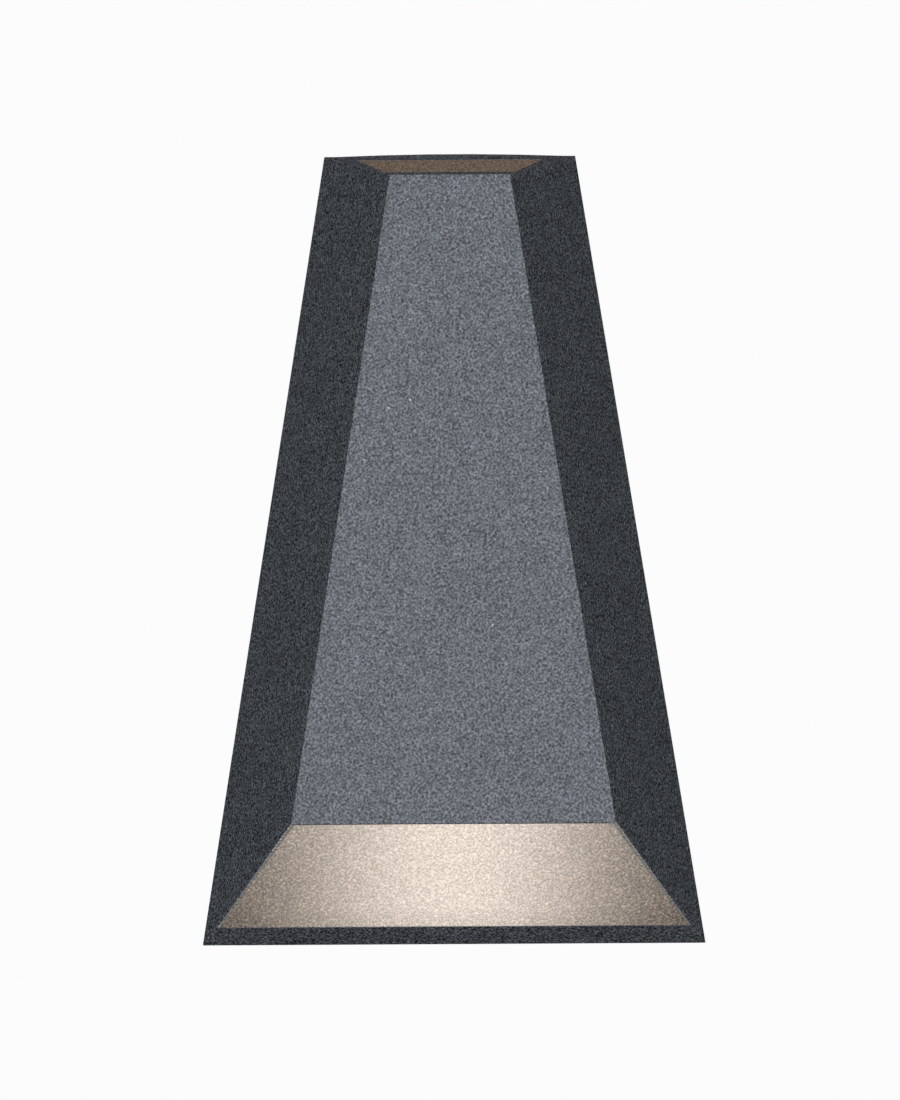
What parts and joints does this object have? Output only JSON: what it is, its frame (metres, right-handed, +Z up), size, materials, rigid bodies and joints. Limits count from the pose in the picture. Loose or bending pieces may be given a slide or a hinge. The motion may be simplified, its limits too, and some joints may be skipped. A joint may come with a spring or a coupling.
{
  "type": "outdoor wall light",
  "caption": "Tapered die-cast outdoor wall light, wider at the bottom, with a lit opal window in its lower slope and a small one above, on a hidden wall bracket.",
  "frame": {"origin": "centre of the bracket's wall-screw slots, on the wall plane, at the housing's mid-height", "axes": "+Z up, +Y into the wall, -Y out through the front panel, +X to the right seen from the front"},
  "size_m": [0.154, 0.072, 0.2507],
  "materials": {
    "sand_anthracite": "fine sand-textured anthracite powder coat, matt",
    "opal_lower": "satin opal pane, lit warm white",
    "opal_upper": "satin opal pane, dim warm",
    "silicone_grey": "grey silicone",
    "foam_black": "black closed-cell foam and rubber",
    "zinc_steel": "zinc-plated sheet steel",
    "stainless": "stainless fasteners",
    "brass": "bare brass",
    "aluminium_sheet": "mill-finish sheet",
    "board_white": "white solder mask",
    "phosphor": "yellow phosphor",
    "driver_plastic": "light grey moulded plastic",
    "circuit_green": "green solder mask",
    "ferrite": "dark ferrite and tape",
    "capacitor_sleeve": "shrunk sleeve",
    "terminal_plastic": "natural polyamide",
    "plated_screw": "zinc-plated clamp screws",
    "tinned_copper": "tinned copper",
    "wire_brown": "brown insulation",
    "wire_blue": "blue insulation",
    "wire_earth": "green and yellow insulation",
    "lead_white": "white silicone insulation",
    "vent_plastic": "dark moulded plastic"
  },
  "bodies": {
    "bracket": {"wall_bracket": "zinc_steel", "bracket_earth_stud": "brass", "bracket_earth_washer": "brass", "bracket_earth_nut": "brass"},
    "lamp": {"housing": "sand_anthracite", "bottom_diffuser": "opal_lower", "top_diffuser": "opal_upper", "bottom_diffuser_seal": "silicone_grey", "top_diffuser_seal": "silicone_grey", "wall_seal": "foam_black", "gear_tray_seal": "foam_black", "feed_through_grommet": "foam_black", "gear_tray_screws": "stainless", "driver_screws": "stainless", "terminal_fixing_screw": "stainless", "tray_earth_screw": "stainless", "bottom_carrier_screws": "stainless", "top_carrier_screws": "stainless", "bottom_board_screws": "stainless", "top_board_screws": "stainless", "terminal_clamps": "brass", "gear_tray": "aluminium_sheet", "bottom_led_carrier": "aluminium_sheet", "top_led_carrier": "aluminium_sheet", "bottom_led_board": "board_white", "top_led_board": "board_white", "bottom_leds": "phosphor", "top_leds": "phosphor", "driver_base": "driver_plastic", "driver_case": "driver_plastic", "driver_circuit": "circuit_green", "driver_transformer": "ferrite", "driver_capacitors": "capacitor_sleeve", "terminal_block": "terminal_plastic", "terminal_screws": "plated_screw", "tray_earth_lug": "tinned_copper", "live_wire": "wire_brown", "neutral_wire": "wire_blue", "earth_wire": "wire_earth", "bottom_led_leads": "lead_white", "top_led_leads": "lead_white", "vent_plug": "vent_plastic"},
    "left_screw": {"left_fixing_screw": "stainless"},
    "right_screw": {"right_fixing_screw": "stainless"}
  },
  "joints": [
    {"name": "pull_off", "type": "slide", "parent": "bracket", "child": "lamp", "axis": [0, -1, 0], "range_m": [0, 0.08]},
    {"name": "left_screw_out", "type": "slide", "parent": "lamp", "child": "left_screw", "axis": [0, 0, 1], "range_m": [0, 0.006]},
    {"name": "right_screw_out", "type": "slide", "parent": "lamp", "child": "right_screw", "axis": [0, 0, 1], "range_m": [0, 0.006]}
  ]
}
